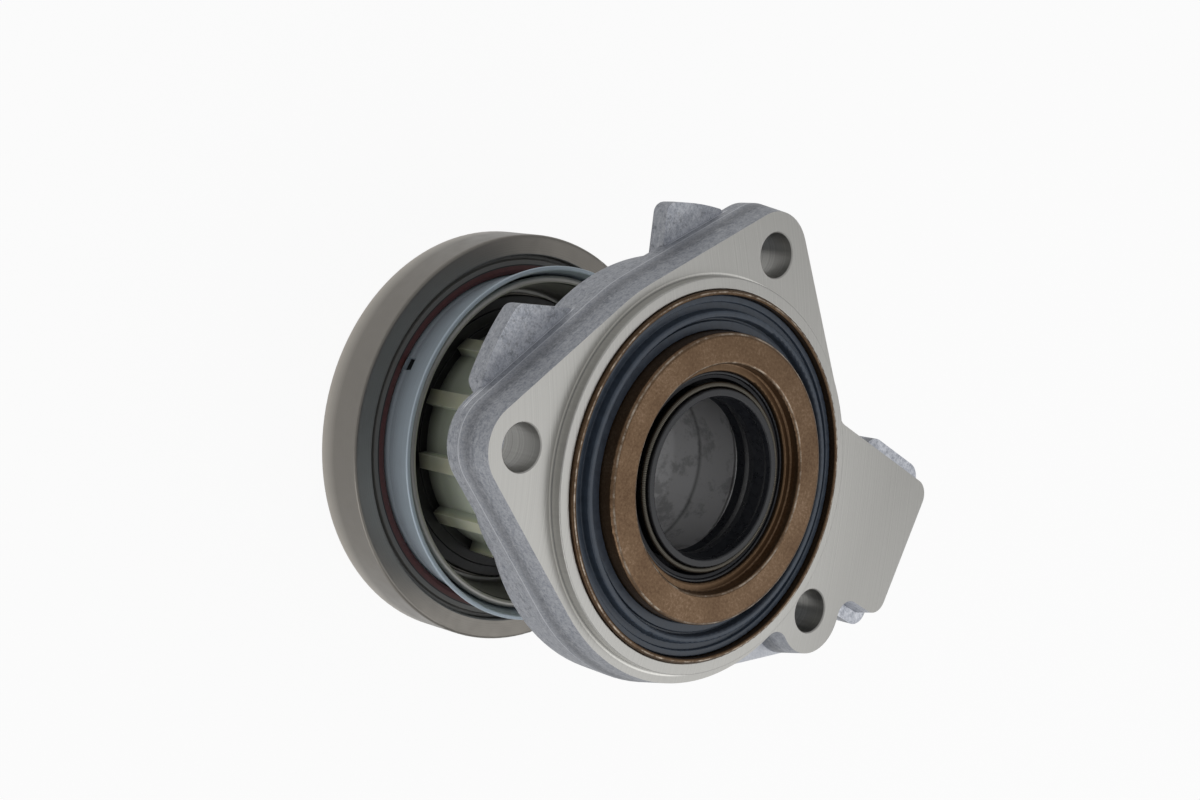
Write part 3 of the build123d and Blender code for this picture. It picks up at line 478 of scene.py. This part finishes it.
def make_sleeve(look):
    """Deep-drawn steel sheet in a brown conversion coat: satin, finely grained, its edges rubbed pale and
    with a painted highlight.
    """
    material, tree, shader, point = start_material("brown_passivated_steel")
    _, _, z, radius = measure(tree, point)

    # Grain of the coat, about 0.5 mm, over clouds of 5 to 6 mm
    grain = {"Vector": point, "Scale": 2.2, "Detail": 5.0, "Roughness": 0.75}
    grains = add_node(tree, "ShaderNodeTexNoise", grain).outputs["Fac"]
    cloud = {"Vector": point, "Scale": 0.18, "Detail": 3.0}
    clouds = add_node(tree, "ShaderNodeTexNoise", cloud).outputs["Fac"]
    both = add_node(tree, "ShaderNodeMix", {0: 0.35, 2: grains, 3: clouds}, data_type="FLOAT").outputs[0]
    stops = [(0.38, look.dark), (0.54, look.brown), (0.82, look.worn)]
    coat = add_node(tree, "ShaderNodeValToRGB", {0: both}, stops=stops).outputs[0]

    # The bore of the seal pocket is stretched, so its coat is thin and golden
    golden = {0: radius, 1: POCKET_MOUTH_R, 2: POCKET_MOUTH_R - 0.5, 3: 0.0, 4: 0.65}
    bore = add_node(tree, "ShaderNodeMapRange", golden).outputs[0]
    warm = add_node(tree, "ShaderNodeMix", {0: bore, 6: coat, 7: look.gold}, data_type="RGBA").outputs[2]

    # The tube is bare, with smudges of old oil about 6 mm wide and the rings that the ironing left
    inside = add_node(tree, "ShaderNodeMapRange", {0: radius, 1: TUBE_R + 0.2, 2: TUBE_R - 0.2}).outputs[0]
    smudge = {"Vector": point, "Scale": 0.16, "Detail": 9.0, "Roughness": 0.72}
    smudges = add_node(tree, "ShaderNodeTexNoise", smudge).outputs["Fac"]
    oil = {0: smudges, 1: 0.50, 2: 0.58, 3: 1.0, 4: 0.68}
    oily = add_node(tree, "ShaderNodeMapRange", oil).outputs[0]
    depth = add_node(tree, "ShaderNodeMapRange", {0: z, 1: 0.0, 2: -TUBE_DEPTH}).outputs[0]
    tones = [(0.0, 0.85), (0.33, 0.85), (0.345, 0.4), (0.36, 0.95), (0.48, 0.85), (0.5, 1.0), (1.0, 1.0)]
    ringed = add_node(tree, "ShaderNodeValToRGB", {0: depth}, stops=greys(tones)).outputs[0]
    steel = look.tube
    for layer in (oily, ringed):
        stained = {0: 1.0, 6: steel, 7: layer}
        steel = add_node(tree, "ShaderNodeMix", stained, data_type="RGBA", blend_type="MULTIPLY").outputs[2]
    skin = add_node(tree, "ShaderNodeMix", {0: inside, 6: warm, 7: steel}, data_type="RGBA").outputs[2]

    # The rim is darker than the rest
    outer = {0: radius, 1: RIM_INNER_R - 0.3, 2: RIM_INNER_R, 3: 1.0, 4: 0.66}
    rim = add_node(tree, "ShaderNodeMapRange", outer).outputs[0]
    dimmed = {0: 1.0, 6: skin, 7: rim}
    skin = add_node(tree, "ShaderNodeMix", dimmed, data_type="RGBA", blend_type="MULTIPLY").outputs[2]

    # A thin bright line along the rim and both edges of the bead, broken every 2 to 3 mm, is partly rubbed
    # wear and partly a painted highlight
    scratch = {"Vector": point, "Scale": 0.4, "Detail": 7.0, "Roughness": 0.8}
    scratches = add_node(tree, "ShaderNodeTexNoise", scratch).outputs["Fac"]
    gaps = {0: scratches, 1: 0.46, 2: 0.62, 3: 0.06, 4: 0.75}
    broken = add_node(tree, "ShaderNodeMapRange", gaps).outputs[0]
    edge = 0.0
    for edge_r, edge_z in WORN_AND_LIT_EDGES:
        near = band(tree, radius, edge_r, inner=0.05, outer=0.16)
        high = add_node(tree, "ShaderNodeMapRange", {0: z, 1: edge_z - 0.3, 2: edge_z - 0.1}).outputs[0]
        shine = add_node(tree, "ShaderNodeMath", {0: near, 1: high}, operation="MULTIPLY").outputs[0]
        edge = add_node(tree, "ShaderNodeMath", {0: edge, 1: shine}, operation="MAXIMUM").outputs[0]
    edge = add_node(tree, "ShaderNodeMath", {0: edge, 1: broken}, operation="MULTIPLY").outputs[0]
    worn = add_node(tree, "ShaderNodeMix", {0: edge, 6: skin, 7: look.glint}, data_type="RGBA")
    tree.links.new(worn.outputs[2], shader.inputs["Base Color"])
    shader.inputs["Metallic"].default_value = 0.85
    uneven = {0: grains, 1: 0.3, 2: 0.7, 3: 0.40, 4: 0.30}
    rough = add_node(tree, "ShaderNodeMapRange", uneven)
    tree.links.new(rough.outputs[0], shader.inputs["Roughness"])
    lines = turned_lines(tree, point, look.draw_line / MM)
    set_bump(tree, shader, lines, depth_mm=0.015, strength=0.4)
    return material


def make_moulding(name, tone, roughness, grain_mm, depth_mm=0.02, sheet=None, groove_shade=None):
    """Moulded rubber or nylon: a soft, slightly uneven skin with a low gloss.

    With a colour for sheet, it is bonded to a sheet outside SEAL_CASE_R, with a line of painted shade beside
    it, in a groove.
    """
    material, tree, shader, point = start_material(name)
    grain = {"Vector": point, "Scale": 1 / grain_mm, "Detail": 4.0, "Roughness": 0.6}
    grains = add_node(tree, "ShaderNodeTexNoise", grain).outputs["Fac"]
    lighter = [min(1, level * 1.5 + 0.004) for level in tone[:3]] + [1]
    stops = [(0.35, tone), (0.8, lighter)]
    skin = add_node(tree, "ShaderNodeValToRGB", {0: grains}, stops=stops).outputs[0]
    if sheet is not None:
        _, _, _, radius = measure(tree, point)
        beyond = {0: radius, 1: SEAL_CASE_R, 2: SEAL_CASE_R + 0.06}
        outside = add_node(tree, "ShaderNodeMapRange", beyond).outputs[0]
        skin = add_node(tree, "ShaderNodeMix", {0: outside, 6: skin, 7: sheet}, data_type="RGBA").outputs[2]
        beside = band(tree, radius, SEAL_CASE_R + 0.12, inner=0.06, outer=0.14)
        skin = add_node(tree, "ShaderNodeMix", {0: beside, 6: skin, 7: groove_shade}, data_type="RGBA").outputs[2]
    tree.links.new(skin, shader.inputs["Base Color"])
    uneven = {0: grains, 1: 0.3, 2: 0.7, 3: roughness - 0.06, 4: roughness + 0.08}
    rough = add_node(tree, "ShaderNodeMapRange", uneven)
    tree.links.new(rough.outputs[0], shader.inputs["Roughness"])
    shader.inputs["IOR"].default_value = 1.52
    set_bump(tree, shader, grains, depth_mm, strength=0.3)
    return material


def make_turned_metal(name, tone, roughness, spacing_mm, metallic=1.0, seat=None, highlight_z=None):
    """Turned, ground or drawn metal, with fine rings round the axis.

    With a colour for seat, a line of painted shade at SEAT_R has that colour. With a height for the
    highlight, a painted highlight makes the metal brighter from 3.4 mm above that height down to it.
    """
    material, tree, shader, point = start_material(name)
    lines = turned_lines(tree, point, spacing_mm)
    darker = [level * 0.86 for level in tone[:3]] + [1]
    stops = [(0.3, darker), (0.65, tone)]
    skin = add_node(tree, "ShaderNodeValToRGB", {0: lines}, stops=stops).outputs[0]
    if seat is not None:
        _, _, _, radius = measure(tree, point)
        # Painted shade: the seat line is painted dark
        on_seat = band(tree, radius, SEAT_R, inner=0.04, outer=0.12)
        skin = add_node(tree, "ShaderNodeMix", {0: on_seat, 6: skin, 7: seat}, data_type="RGBA").outputs[2]
    # A painted highlight brightens the metal towards its lower edge
    if highlight_z:
        _, _, z, _ = measure(tree, point)
        by_edge = {0: z, 1: highlight_z + 3.4, 2: highlight_z, 3: 1.0, 4: 2.1}
        rubbed = add_node(tree, "ShaderNodeMapRange", by_edge).outputs[0]
        brighter = {0: 1.0, 6: skin, 7: rubbed}
        skin = add_node(tree, "ShaderNodeMix", brighter, data_type="RGBA", blend_type="MULTIPLY").outputs[2]
    tree.links.new(skin, shader.inputs["Base Color"])
    shader.inputs["Metallic"].default_value = metallic

    # The gloss varies in clouds of about 2.5 mm
    cloud = {"Vector": point, "Scale": 0.4, "Detail": 3.0}
    clouds = add_node(tree, "ShaderNodeTexNoise", cloud).outputs["Fac"]
    uneven = {0: clouds, 1: 0.3, 2: 0.7, 3: roughness - 0.05, 4: roughness + 0.05}
    rough = add_node(tree, "ShaderNodeMapRange", uneven)
    tree.links.new(rough.outputs[0], shader.inputs["Roughness"])
    set_bump(tree, shader, lines, depth_mm=0.006, strength=0.5)
    return material


def make_piston(look):
    """Moulded nylon: pale green-white, a little see-through, warmer on the crest of each rib."""
    material, tree, shader, point = start_material("pale_moulded_nylon")
    _, _, z, radius = measure(tree, point)

    # The crests are warmer in patches of about 4 mm
    crest = add_node(tree, "ShaderNodeMapRange", {0: radius, 1: PANEL_R, 2: CREST_R}).outputs[0]
    cloud = {"Vector": point, "Scale": 0.25, "Detail": 3.0}
    clouds = add_node(tree, "ShaderNodeTexNoise", cloud).outputs["Fac"]
    warm = add_node(tree, "ShaderNodeMath", {0: crest, 1: clouds}, operation="MULTIPLY").outputs[0]
    tone = add_node(tree, "ShaderNodeMix", {0: warm, 6: look.body, 7: look.rib}, data_type="RGBA").outputs[2]

    # Painted shade darkens the last 3 mm of the ribs, by the bearing
    by_bearing = {0: z, 1: RIB_END_Z + 3.0, 2: RIB_END_Z, 3: 0.0, 4: 0.8}
    painted_rib_shade = add_node(tree, "ShaderNodeMapRange", by_bearing).outputs[0]
    shaded_ribs = add_node(tree, "ShaderNodeMix", {0: painted_rib_shade, 6: tone, 7: look.rib_end_shade}, data_type="RGBA")
    tree.links.new(shaded_ribs.outputs[2], shader.inputs["Base Color"])
    shader.inputs["Roughness"].default_value = 0.38
    shader.inputs["IOR"].default_value = 1.53
    shader.inputs["Subsurface Weight"].default_value = 0.5
    shader.inputs["Subsurface Radius"].default_value = (0.9, 1.0, 0.7)
    shader.inputs["Subsurface Scale"].default_value = 0.0015
    return material


# Modelling

def deselect():
    """Leave nothing selected, out of edit mode."""
    if bpy.context.object and bpy.context.object.mode != "OBJECT":
        bpy.ops.object.mode_set(mode="OBJECT")
    bpy.ops.object.select_all(action="DESELECT")


def finish_piece(piece, name, material, body, angle):
    """Settle a new piece at the origin, smooth it, dress it and let it ride."""
    bpy.ops.object.transform_apply(location=True, rotation=True, scale=True)
    bpy.ops.object.shade_smooth_by_angle(angle=math.radians(angle))
    piece.name = name
    piece.data.name = name
    piece.data.materials.clear()
    piece.data.materials.append(material)
    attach(piece, body)


class CSC_OT_housing(bpy.types.Operator):
    """Dress the housing in its cast and milled finish"""

    bl_idname = "csc.housing"
    bl_label = "Housing finish"

    def execute(self, context):
        dress("housing", make_casting(context.scene.csc_casting))
        return {"FINISHED"}


class CSC_OT_sleeve(bpy.types.Operator):
    """Dress the guide sleeve"""

    bl_idname = "csc.sleeve"
    bl_label = "Guide sleeve finish"

    def execute(self, context):
        dress("guide_sleeve", make_sleeve(context.scene.csc_sleeve))
        return {"FINISHED"}


class CSC_OT_rubbers(bpy.types.Operator):
    """Dress the gasket and every rubber seal"""

    bl_idname = "csc.rubbers"
    bl_label = "Rubber finishes"

    def execute(self, context):
        look = context.scene.csc_rubber

        # Moulded nitrile: dark blue-grey for the gasket, near black and oily for the other seals
        gasket = make_moulding("blue_black_nitrile", look.gasket, roughness=0.34, grain_mm=1.2)
        dress("mounting_gasket", gasket)
        black = make_moulding("black_nitrile", look.seal, roughness=0.30, grain_mm=0.9)
        for name in ("shaft_seal", "piston_seal", "sleeve_o_ring"):
            dress(name, black)

        # Moulded fluoro rubber: dull maroon, bonded to a dark sheet, with painted shade in the groove
        # between them
        bonded = {"sheet": look.sheet, "groove_shade": look.groove_shade}
        maroon = make_moulding("maroon_fluoro_rubber", look.maroon, roughness=0.45, grain_mm=0.8, **bonded)
        for name in ("bearing_seal", "clutch_side_seal"):
            dress(name, maroon)
        return {"FINISHED"}


class CSC_OT_bearing(bpy.types.Operator):
    """Dress the release bearing, its collar, its cage and its balls"""

    bl_idname = "csc.bearing"
    bl_label = "Bearing finishes"

    def execute(self, context):
        look = context.scene.csc_bearing

        # Ground steel: satin, with rings that are only just seen, and a painted highlight along its lower
        # edge
        ground = {"roughness": 0.34, "spacing_mm": 0.16}
        ring = make_turned_metal("ground_bearing_steel", look.ground, highlight_z=RING_EDGE_Z, **ground)
        dress("bearing_outer_ring", ring)
        dress("thrust_washer", make_turned_metal("hardened_washer_steel", look.ground, **ground))

        # Turned steel: duller and more coarsely ringed, with a line of painted shade where the collar sits
        turned = {"roughness": 0.42, "spacing_mm": 0.3, "metallic": 0.7}
        lip = make_turned_metal("turned_bearing_steel", look.lip, seat=look.seat, **turned)
        dress("bearing_inner_ring", lip)

        # Zinc-plated sheet: pale blue-grey, with little of the metal's own shine
        rolled = {"roughness": 0.42, "spacing_mm": 0.5, "metallic": 0.35}
        dress("retaining_collar", make_turned_metal("zinc_plated_sheet", look.plated, **rolled))

        # Polished steel is close to a mirror; glass-filled nylon is tan, dull and finely speckled
        balls = make_turned_metal("polished_ball_steel", look.ball, roughness=0.10, spacing_mm=2.0)
        dress("bearing_balls", balls)
        cage = make_moulding("glass_filled_nylon", look.cage, roughness=0.5, grain_mm=0.5)
        dress("bearing_cage", cage)

        # Moulded black nylon: smooth, with a soft even gloss
        smooth = {"roughness": 0.38, "grain_mm": 0.9, "depth_mm": 0.006}
        black = make_moulding("black_moulded_nylon", look.black, **smooth)
        for name in ("bearing_carrier", "spring_retainer", "spring_seat"):
            dress(name, black)
        return {"FINISHED"}


class CSC_OT_piston(bpy.types.Operator):
    """Dress the piston"""

    bl_idname = "csc.piston"
    bl_label = "Piston finish"

    def execute(self, context):
        dress("piston", make_piston(context.scene.csc_piston))
        return {"FINISHED"}


class CSC_OT_springs(bpy.types.Operator):
    """Dress the springs, the stop ring and the seal's steel case"""

    bl_idname = "csc.springs"
    bl_label = "Spring finishes"

    def execute(self, context):
        look = context.scene.csc_spring

        # Drawn spring wire is bright; phosphated steel is dark grey and dull
        wire = make_turned_metal("bright_spring_wire", look.steel, roughness=0.26, spacing_mm=0.2)
        for name in ("centring_spring", "stop_ring"):
            dress(name, wire)
        coated = {"roughness": 0.55, "spacing_mm": 0.3, "metallic": 0.6}
        dress("seal_case", make_turned_metal("phosphated_steel", look.phosphate, **coated))
        return {"FINISHED"}


class CSC_OT_garter(bpy.types.Operator):
    """Wind the garter spring round the seal's head as a real coil, in place of its plain ring"""

    bl_idname = "csc.garter"
    bl_label = "Garter spring"

    def execute(self, context):
        look = context.scene.csc_spring
        deselect()
        upright = (math.pi / 2, 0, 0)
        start = (look.coil_r, 0, 0)
        bpy.ops.mesh.primitive_circle_add(vertices=6, radius=look.wire_r, location=start, rotation=upright)
        coil = context.object
        bpy.ops.object.transform_apply(location=True, rotation=True, scale=True)
        wind = coil.modifiers.new("wind", "SCREW")
        wind.screw_offset = 2 * math.pi * look.ring_r / look.coil_count
        wind.iterations = look.coil_count
        wind.steps = 8
        wind.render_steps = 8
        bpy.ops.object.modifier_apply(modifier=wind.name)

        # Bend the straight coil round a circle and close its ends on each other
        deselect()
        bpy.ops.curve.primitive_bezier_circle_add(radius=look.ring_r, location=(0, 0, 0))
        path = context.object
        path.data.resolution_u = 64
        deselect()
        coil.select_set(True)
        context.view_layer.objects.active = coil
        bend = coil.modifiers.new("bend", "CURVE")
        bend.object = path
        bend.deform_axis = "POS_Z"
        bpy.ops.object.modifier_apply(modifier=bend.name)
        bpy.data.objects.remove(path)
        bpy.ops.object.mode_set(mode="EDIT")
        bpy.ops.mesh.select_all(action="SELECT")
        bpy.ops.mesh.remove_doubles(threshold=0.05 * MM)
        bpy.ops.mesh.normals_make_consistent(inside=False)
        bpy.ops.transform.translate(value=(0, 0, look.centre_z))
        bpy.ops.object.mode_set(mode="OBJECT")

        # Drawn wire under a film of oil: grey-brown, with a soft shine
        wire = make_turned_metal("oiled_spring_wire", look.garter, roughness=0.35, spacing_mm=0.2)
        finish_piece(coil, "garter_coil", wire, "cylinder", 60)
        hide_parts("garter_spring")
        return {"FINISHED"}


class CSC_OT_preload(bpy.types.Operator):
    """Put a copy of the preload spring, with its doubled points merged, in place of the stiff one"""

    bl_idname = "csc.preload"
    bl_label = "Preload spring"

    def execute(self, context):
        look = context.scene.csc_spring
        deselect()
        spring = bpy.data.objects.new("closing_spring", NODES["preload_spring"].data.copy())
        context.scene.collection.objects.link(spring)
        spring.select_set(True)
        context.view_layer.objects.active = spring
        bpy.ops.object.mode_set(mode="EDIT")
        bpy.ops.mesh.select_all(action="SELECT")
        bpy.ops.mesh.remove_doubles(threshold=0.002 * MM)
        bpy.ops.object.mode_set(mode="OBJECT")

        # Oil-hardened wire: bright, but less so than the thin springs
        wire = make_turned_metal("oil_hardened_spring_wire", look.steel, roughness=0.3, spacing_mm=0.2)
        finish_piece(spring, "closing_spring", wire, "cylinder", 60)
        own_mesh(spring)
        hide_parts("preload_spring")
        return {"FINISHED"}


class CSC_OT_threads(bpy.types.Operator):
    """Cut the thread that shows in both ports, as a ridge that winds along each bore"""

    bl_idname = "csc.threads"
    bl_label = "Port threads"

    def execute(self, context):
        look = context.scene.csc_thread
        deselect()
        start_x = BLOCK_END_X * MM - (look.turns + look.lead_in) * look.pitch
        place = (start_x, PORT_YS[0] * MM, PORT_Z * MM)
        upside_down = (0, 0, math.pi)

        # A triangle as high as the ridge, with its base on the bore and its tip towards the middle
        ridge_r = look.depth / 1.5
        bpy.ops.mesh.primitive_circle_add(vertices=3, radius=ridge_r, location=place, rotation=upside_down)
        thread = context.object
        bpy.ops.object.transform_apply(location=False, rotation=True, scale=False)
        bpy.ops.object.mode_set(mode="EDIT")
        bpy.ops.mesh.select_all(action="SELECT")
        bpy.ops.transform.translate(value=(0, look.root_r - look.depth / 3, 0))
        bpy.ops.object.mode_set(mode="OBJECT")

        # Wind it along the bore, close its two ends, and copy it to the other port
        wind = thread.modifiers.new("wind", "SCREW")
        wind.axis = "X"
        wind.screw_offset = look.pitch
        wind.iterations = look.turns
        wind.steps = 48
        wind.render_steps = 48
        bpy.ops.object.modifier_apply(modifier=wind.name)
        bpy.ops.object.mode_set(mode="EDIT")
        bpy.ops.mesh.select_all(action="SELECT")
        bpy.ops.mesh.remove_doubles(threshold=0.005 * MM)
        bpy.ops.mesh.select_all(action="DESELECT")
        bpy.ops.mesh.select_non_manifold()
        bpy.ops.mesh.fill_holes(sides=3)
        bpy.ops.mesh.select_all(action="SELECT")
        bpy.ops.mesh.normals_make_consistent(inside=False)
        bpy.ops.object.mode_set(mode="OBJECT")
        bpy.ops.object.duplicate(linked=False)
        twin = context.object
        twin.location.y = PORT_YS[1] * MM

        # Freshly cut aluminium: brighter than the cast skin, with fine tool lines
        tone = context.scene.csc_casting.milled
        cut = make_turned_metal("cut_aluminium_thread", tone, roughness=0.3, spacing_mm=0.15)
        for piece, name in ((thread, "port_thread_bleed"), (twin, "port_thread_feed")):
            deselect()
            piece.select_set(True)
            context.view_layer.objects.active = piece
            finish_piece(piece, name, cut, "cylinder", 30)
        return {"FINISHED"}


class CSC_OT_stage(bpy.types.Operator):
    """Set the floor, the lamps, the room light and the camera"""

    bl_idname = "csc.stage"
    bl_label = "Stage"

    def execute(self, context):
        look = context.scene.csc_stage
        deselect()
        low_z = CAD_BOX[0][2]
        bpy.ops.mesh.primitive_plane_add(size=6, location=(0, 0, low_z))
        floor = context.object
        floor.name = "floor"
        paint = bpy.data.materials.new("pale_floor")
        paint.use_nodes = True
        tree = paint.node_tree
        tree.nodes.clear()
        path = add_node(tree, "ShaderNodeLightPath").outputs
        view = {0: path["Is Camera Ray"], 1: look.floor_view}
        seen = add_node(tree, "ShaderNodeMath", view, operation="MULTIPLY").outputs[0]
        shine = {0: path["Is Glossy Ray"], 1: look.floor_shine, 2: seen}
        share = add_node(tree, "ShaderNodeMath", shine, operation="MULTIPLY_ADD").outputs[0]
        matt = add_node(tree, "ShaderNodeBsdfDiffuse", {"Color": look.floor})
        glow = add_node(tree, "ShaderNodeEmission", {"Color": look.floor, "Strength": 1.0})
        both = add_node(tree, "ShaderNodeMixShader", {0: share, 1: matt.outputs[0], 2: glow.outputs[0]})
        add_node(tree, "ShaderNodeOutputMaterial", {"Surface": both.outputs[0]})
        floor.data.materials.append(paint)

        world = bpy.data.worlds.new("plain_room")
        context.scene.world = world
        world.use_nodes = True
        tree = world.node_tree
        tree.nodes.clear()
        path = add_node(tree, "ShaderNodeLightPath").outputs
        level = add_node(tree, "ShaderNodeMapRange", {0: path["Is Camera Ray"], 3: look.room, 4: 1.0})
        air = add_node(tree, "ShaderNodeBackground", {"Color": (1, 1, 1, 1), "Strength": level.outputs[0]})
        add_node(tree, "ShaderNodeOutputWorld", {"Surface": air.outputs[0]})

        camera_data = bpy.data.cameras.new("camera")
        camera_data.lens = look.lens
        camera_data.sensor_width = 36
        camera_data.clip_start = 0.01
        camera = bpy.data.objects.new("camera", camera_data)
        context.scene.collection.objects.link(camera)
        turned = Matrix((CAMERA_RIGHT, CAMERA_UP, CAMERA_BACK)).transposed().to_4x4()
        camera.matrix_world = Matrix.Translation(CAMERA_PLACE * MM) @ turned
        context.scene.camera = camera

        # Large soft lamps: power, size, and place to the camera's right, up and back, in metres
        for name, power, size, side, height, depth in (
            ("key_lamp", look.key_power, 0.40, 0.34, -0.18, 0.10),
            ("fill_lamp", look.fill_power, 0.35, -0.26, -0.26, 0.14),
        ):
            data = bpy.data.lights.new(name, "AREA")
            data.energy = power
            data.size = size
            lamp = bpy.data.objects.new(name, data)
            context.scene.collection.objects.link(lamp)
            spot = CAMERA_RIGHT * side + CAMERA_UP * height + CAMERA_BACK * depth
            lamp.location = spot
            lamp.rotation_euler = spot.to_track_quat("Z", "Y").to_euler()
        context.scene.view_settings.view_transform = "Standard"
        return {"FINISHED"}


class CSC_PT_panel(bpy.types.Panel):
    """Lists every step in the sidebar"""

    bl_idname = "CSC_PT_panel"
    bl_label = "Concentric Slave Cylinder"
    bl_space_type = "VIEW_3D"
    bl_region_type = "UI"
    bl_category = "Cylinder"

    def draw(self, context):
        for step in STEPS:
            self.layout.operator(step.bl_idname)
        for group in GROUPS:
            settings = getattr(context.scene, group)
            box = self.layout.box()
            for key in settings.bl_rna.properties.keys():
                if key not in ("rna_type", "name"):
                    box.prop(settings, key)


GROUPS = {
    "csc_casting": CastingSettings,
    "csc_sleeve": SleeveSettings,
    "csc_rubber": RubberSettings,
    "csc_bearing": BearingSettings,
    "csc_piston": PistonSettings,
    "csc_spring": SpringSettings,
    "csc_thread": ThreadSettings,
    "csc_stage": StageSettings,
}
STEPS = (
    CSC_OT_housing,
    CSC_OT_sleeve,
    CSC_OT_rubbers,
    CSC_OT_bearing,
    CSC_OT_piston,
    CSC_OT_springs,
    CSC_OT_garter,
    CSC_OT_preload,
    CSC_OT_threads,
    CSC_OT_stage,
)


def register():
    for item in (*GROUPS.values(), *STEPS, CSC_PT_panel):
        bpy.utils.register_class(item)
    for name, group in GROUPS.items():
        setattr(bpy.types.Scene, name, bpy.props.PointerProperty(type=group))


def unregister():
    for name in GROUPS:
        delattr(bpy.types.Scene, name)
    for item in (CSC_PT_panel, *reversed(STEPS), *reversed(GROUPS.values())):
        bpy.utils.unregister_class(item)


def main():
    register()
    for operator in STEPS:
        group, name = operator.bl_idname.split(".")
        getattr(getattr(bpy.ops, group), name)()


if __name__ == "__main__":
    main()
